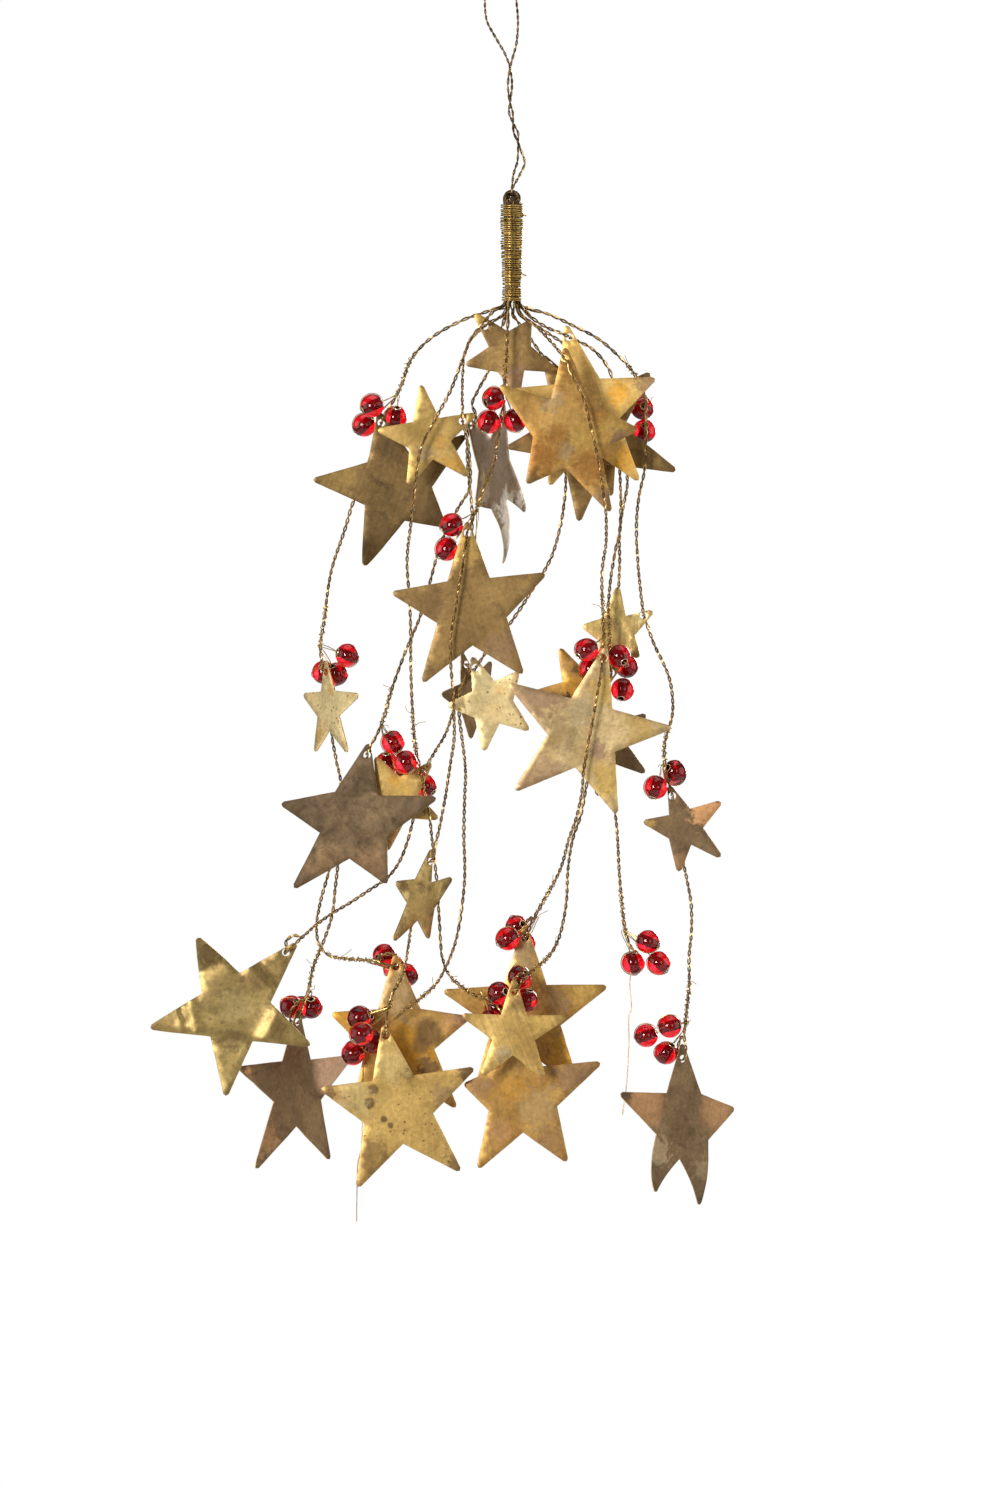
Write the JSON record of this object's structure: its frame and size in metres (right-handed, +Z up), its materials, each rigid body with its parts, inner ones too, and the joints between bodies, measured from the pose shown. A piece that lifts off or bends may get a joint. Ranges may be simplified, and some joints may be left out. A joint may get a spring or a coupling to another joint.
{
  "type": "hanging star decoration",
  "caption": "Hanging ornament of hand-cut sheet-brass stars and red glass bead clusters on a spreading bunch of twisted wire strands, bound into a stem with an eye and a wire hanging loop.",
  "frame": {"origin": "where the hook carries the top of the hanging loop", "axes": "+Z up, -Y towards the viewer, +X to the viewer's right"},
  "size_m": [0.2001, 0.0676, 0.4271],
  "materials": {
    "loop_wire": "thin brass wire, twisted",
    "bundle_wire": "dark bronze-toned wire bundle",
    "binding_wire": "bright brass wire, wound",
    "strand_wire": "dark bronze-toned twisted pair",
    "aged_brass": "aged, patinated sheet brass",
    "red_glass": "clear red glass beads on fine wire"
  },
  "bodies": {
    "hanger": {"hanging_loop": "loop_wire"},
    "bunch": {"stem": "bundle_wire", "binding_wire": "binding_wire", "strand_01": "strand_wire", "strand_02": "strand_wire", "strand_03": "strand_wire", "strand_04": "strand_wire", "strand_05": "strand_wire", "strand_06": "strand_wire", "strand_07": "strand_wire", "strand_08": "strand_wire", "strand_09": "strand_wire", "strand_10": "strand_wire", "bead_cluster_01": "red_glass", "bead_cluster_02": "red_glass", "bead_cluster_03": "red_glass", "bead_cluster_04": "red_glass", "bead_cluster_05": "red_glass", "bead_cluster_06": "red_glass", "bead_cluster_07": "red_glass", "bead_cluster_08": "red_glass", "bead_cluster_09": "red_glass", "bead_cluster_10": "red_glass", "bead_cluster_11": "red_glass", "bead_cluster_12": "red_glass", "bead_cluster_13": "red_glass", "bead_cluster_14": "red_glass", "bead_cluster_15": "red_glass", "bead_cluster_16": "red_glass", "bead_cluster_17": "red_glass", "bead_cluster_18": "red_glass", "bead_cluster_19": "red_glass"},
    "star_01": {"star_01": "aged_brass"},
    "star_02": {"star_02": "aged_brass"},
    "star_03": {"star_03": "aged_brass"},
    "star_04": {"star_04": "aged_brass"},
    "star_05": {"star_05": "aged_brass"},
    "star_06": {"star_06": "aged_brass"},
    "star_07": {"star_07": "aged_brass"},
    "star_08": {"star_08": "aged_brass"},
    "star_09": {"star_09": "aged_brass"},
    "star_10": {"star_10": "aged_brass"},
    "star_11": {"star_11": "aged_brass"},
    "star_12": {"star_12": "aged_brass"},
    "star_13": {"star_13": "aged_brass"},
    "star_14": {"star_14": "aged_brass"},
    "star_15": {"star_15": "aged_brass"},
    "star_16": {"star_16": "aged_brass"},
    "star_17": {"star_17": "aged_brass"},
    "star_18": {"star_18": "aged_brass"},
    "star_19": {"star_19": "aged_brass"},
    "star_20": {"star_20": "aged_brass"},
    "star_21": {"star_21": "aged_brass"},
    "star_22": {"star_22": "aged_brass"},
    "star_23": {"star_23": "aged_brass"},
    "star_24": {"star_24": "aged_brass"},
    "star_25": {"star_25": "aged_brass"},
    "star_26": {"star_26": "aged_brass"},
    "star_27": {"star_27": "aged_brass"},
    "star_28": {"star_28": "aged_brass"}
  },
  "joints": [
    {"name": "bunch_swing", "type": "hinge", "parent": "hanger", "child": "bunch", "pos_m": [0.0034, 0, -0.08125], "axis": [0, 1, 0], "range_deg": [-35, 35]},
    {"name": "star_01_swing", "type": "hinge", "parent": "bunch", "child": "star_01", "pos_m": [-0.00595, 0.0012, -0.12493], "axis": [0, -1, 0], "range_deg": [-8, 8]},
    {"name": "star_02_swing", "type": "hinge", "parent": "bunch", "child": "star_02", "pos_m": [-0.04138, 0.0085, -0.158], "axis": [0, -1, 0], "range_deg": [-8, 8]},
    {"name": "star_03_swing", "type": "hinge", "parent": "bunch", "child": "star_03", "pos_m": [-0.01351, -0.007, -0.15766], "axis": [0, -1, 0], "range_deg": [-8, 8]},
    {"name": "star_04_swing", "type": "hinge", "parent": "bunch", "child": "star_04", "pos_m": [-0.0106, 0.001, -0.15903], "axis": [0.8988, -0.4384, 0], "range_deg": [-8, 8]},
    {"name": "star_05_swing", "type": "hinge", "parent": "bunch", "child": "star_05", "pos_m": [0.0212, -0.021, -0.13646], "axis": [0, -1, 0], "range_deg": [-8, 8]},
    {"name": "star_06_swing", "type": "hinge", "parent": "bunch", "child": "star_06", "pos_m": [0.02291, -0.007, -0.12893], "axis": [0, -1, 0], "range_deg": [-8, 8]},
    {"name": "star_07_swing", "type": "hinge", "parent": "bunch", "child": "star_07", "pos_m": [0.01607, 0.007, -0.13817], "axis": [0, -1, 0], "range_deg": [-8, 8]},
    {"name": "star_08_swing", "type": "hinge", "parent": "bunch", "child": "star_08", "pos_m": [0.03796, 0.014, -0.15356], "axis": [0, -1, 0], "range_deg": [-8, 8]},
    {"name": "star_09_swing", "type": "hinge", "parent": "bunch", "child": "star_09", "pos_m": [-0.0118, -0.005, -0.1959], "axis": [0, -1, 0], "range_deg": [-8, 8]},
    {"name": "star_10_swing", "type": "hinge", "parent": "bunch", "child": "star_10", "pos_m": [-0.0603, 0.011, -0.24344], "axis": [-0.8387, -0.5446, 0], "range_deg": [-8, 8]},
    {"name": "star_11_swing", "type": "hinge", "parent": "bunch", "child": "star_11", "pos_m": [0.03454, -0.009, -0.23872], "axis": [0, -1, 0], "range_deg": [-8, 8]},
    {"name": "star_12_swing", "type": "hinge", "parent": "bunch", "child": "star_12", "pos_m": [0.03728, 0.001, -0.24371], "axis": [0, -1, 0], "range_deg": [-8, 8]},
    {"name": "star_13_swing", "type": "hinge", "parent": "bunch", "child": "star_13", "pos_m": [0.03078, 0.009, -0.25547], "axis": [0, -1, 0], "range_deg": [-8, 8]},
    {"name": "star_14_swing", "type": "hinge", "parent": "bunch", "child": "star_14", "pos_m": [0.04856, 0.007, -0.22401], "axis": [0, -1, 0], "range_deg": [-8, 8]},
    {"name": "star_15_swing", "type": "hinge", "parent": "bunch", "child": "star_15", "pos_m": [-0.00903, 0.011, -0.24193], "axis": [0, -1, 0], "range_deg": [-8, 8]},
    {"name": "star_16_swing", "type": "hinge", "parent": "bunch", "child": "star_16", "pos_m": [-0.01231, 0.021, -0.24077], "axis": [0.7071, -0.7071, 0], "range_deg": [-8, 8]},
    {"name": "star_17_swing", "type": "hinge", "parent": "bunch", "child": "star_17", "pos_m": [-0.04617, 0.001, -0.27182], "axis": [-0.2079, -0.9781, 0], "range_deg": [-8, 8]},
    {"name": "star_18_swing", "type": "hinge", "parent": "bunch", "child": "star_18", "pos_m": [-0.02736, 0.004, -0.27805], "axis": [0, -1, 0], "range_deg": [-8, 8]},
    {"name": "star_19_swing", "type": "hinge", "parent": "bunch", "child": "star_19", "pos_m": [-0.02462, 0.003, -0.30831], "axis": [0.766, -0.6428, 0], "range_deg": [-8, 8]},
    {"name": "star_20_swing", "type": "hinge", "parent": "bunch", "child": "star_20", "pos_m": [0.05835, 0.005, -0.28591], "axis": [0, -1, 0], "range_deg": [-8, 8]},
    {"name": "star_21_swing", "type": "hinge", "parent": "bunch", "child": "star_21", "pos_m": [-0.07387, -0.011, -0.33926], "axis": [0, -1, 0], "range_deg": [-8, 8]},
    {"name": "star_22_swing", "type": "hinge", "parent": "bunch", "child": "star_22", "pos_m": [-0.07028, 0.015, -0.36348], "axis": [0.7431, -0.6691, 0], "range_deg": [-8, 8]},
    {"name": "star_23_swing", "type": "hinge", "parent": "bunch", "child": "star_23", "pos_m": [-0.03974, -0.011, -0.36782], "axis": [0, -1, 0], "range_deg": [-8, 8]},
    {"name": "star_24_swing", "type": "hinge", "parent": "bunch", "child": "star_24", "pos_m": [-0.03639, 0.003, -0.34439], "axis": [0, -1, 0], "range_deg": [-5, 8]},
    {"name": "star_25_swing", "type": "hinge", "parent": "bunch", "child": "star_25", "pos_m": [0.00787, 0.007, -0.33448], "axis": [0, -1, 0], "range_deg": [-8, 8]},
    {"name": "star_26_swing", "type": "hinge", "parent": "bunch", "child": "star_26", "pos_m": [0.0041, -0.017, -0.3526], "axis": [0, -1, 0], "range_deg": [-8, 8]},
    {"name": "star_27_swing", "type": "hinge", "parent": "bunch", "child": "star_27", "pos_m": [0.00787, -0.007, -0.37004], "axis": [0, -1, 0], "range_deg": [-8, 8]},
    {"name": "star_28_swing", "type": "hinge", "parent": "bunch", "child": "star_28", "pos_m": [0.06177, 0.001, -0.37586], "axis": [0.6157, -0.788, 0], "range_deg": [-8, 8]}
  ]
}
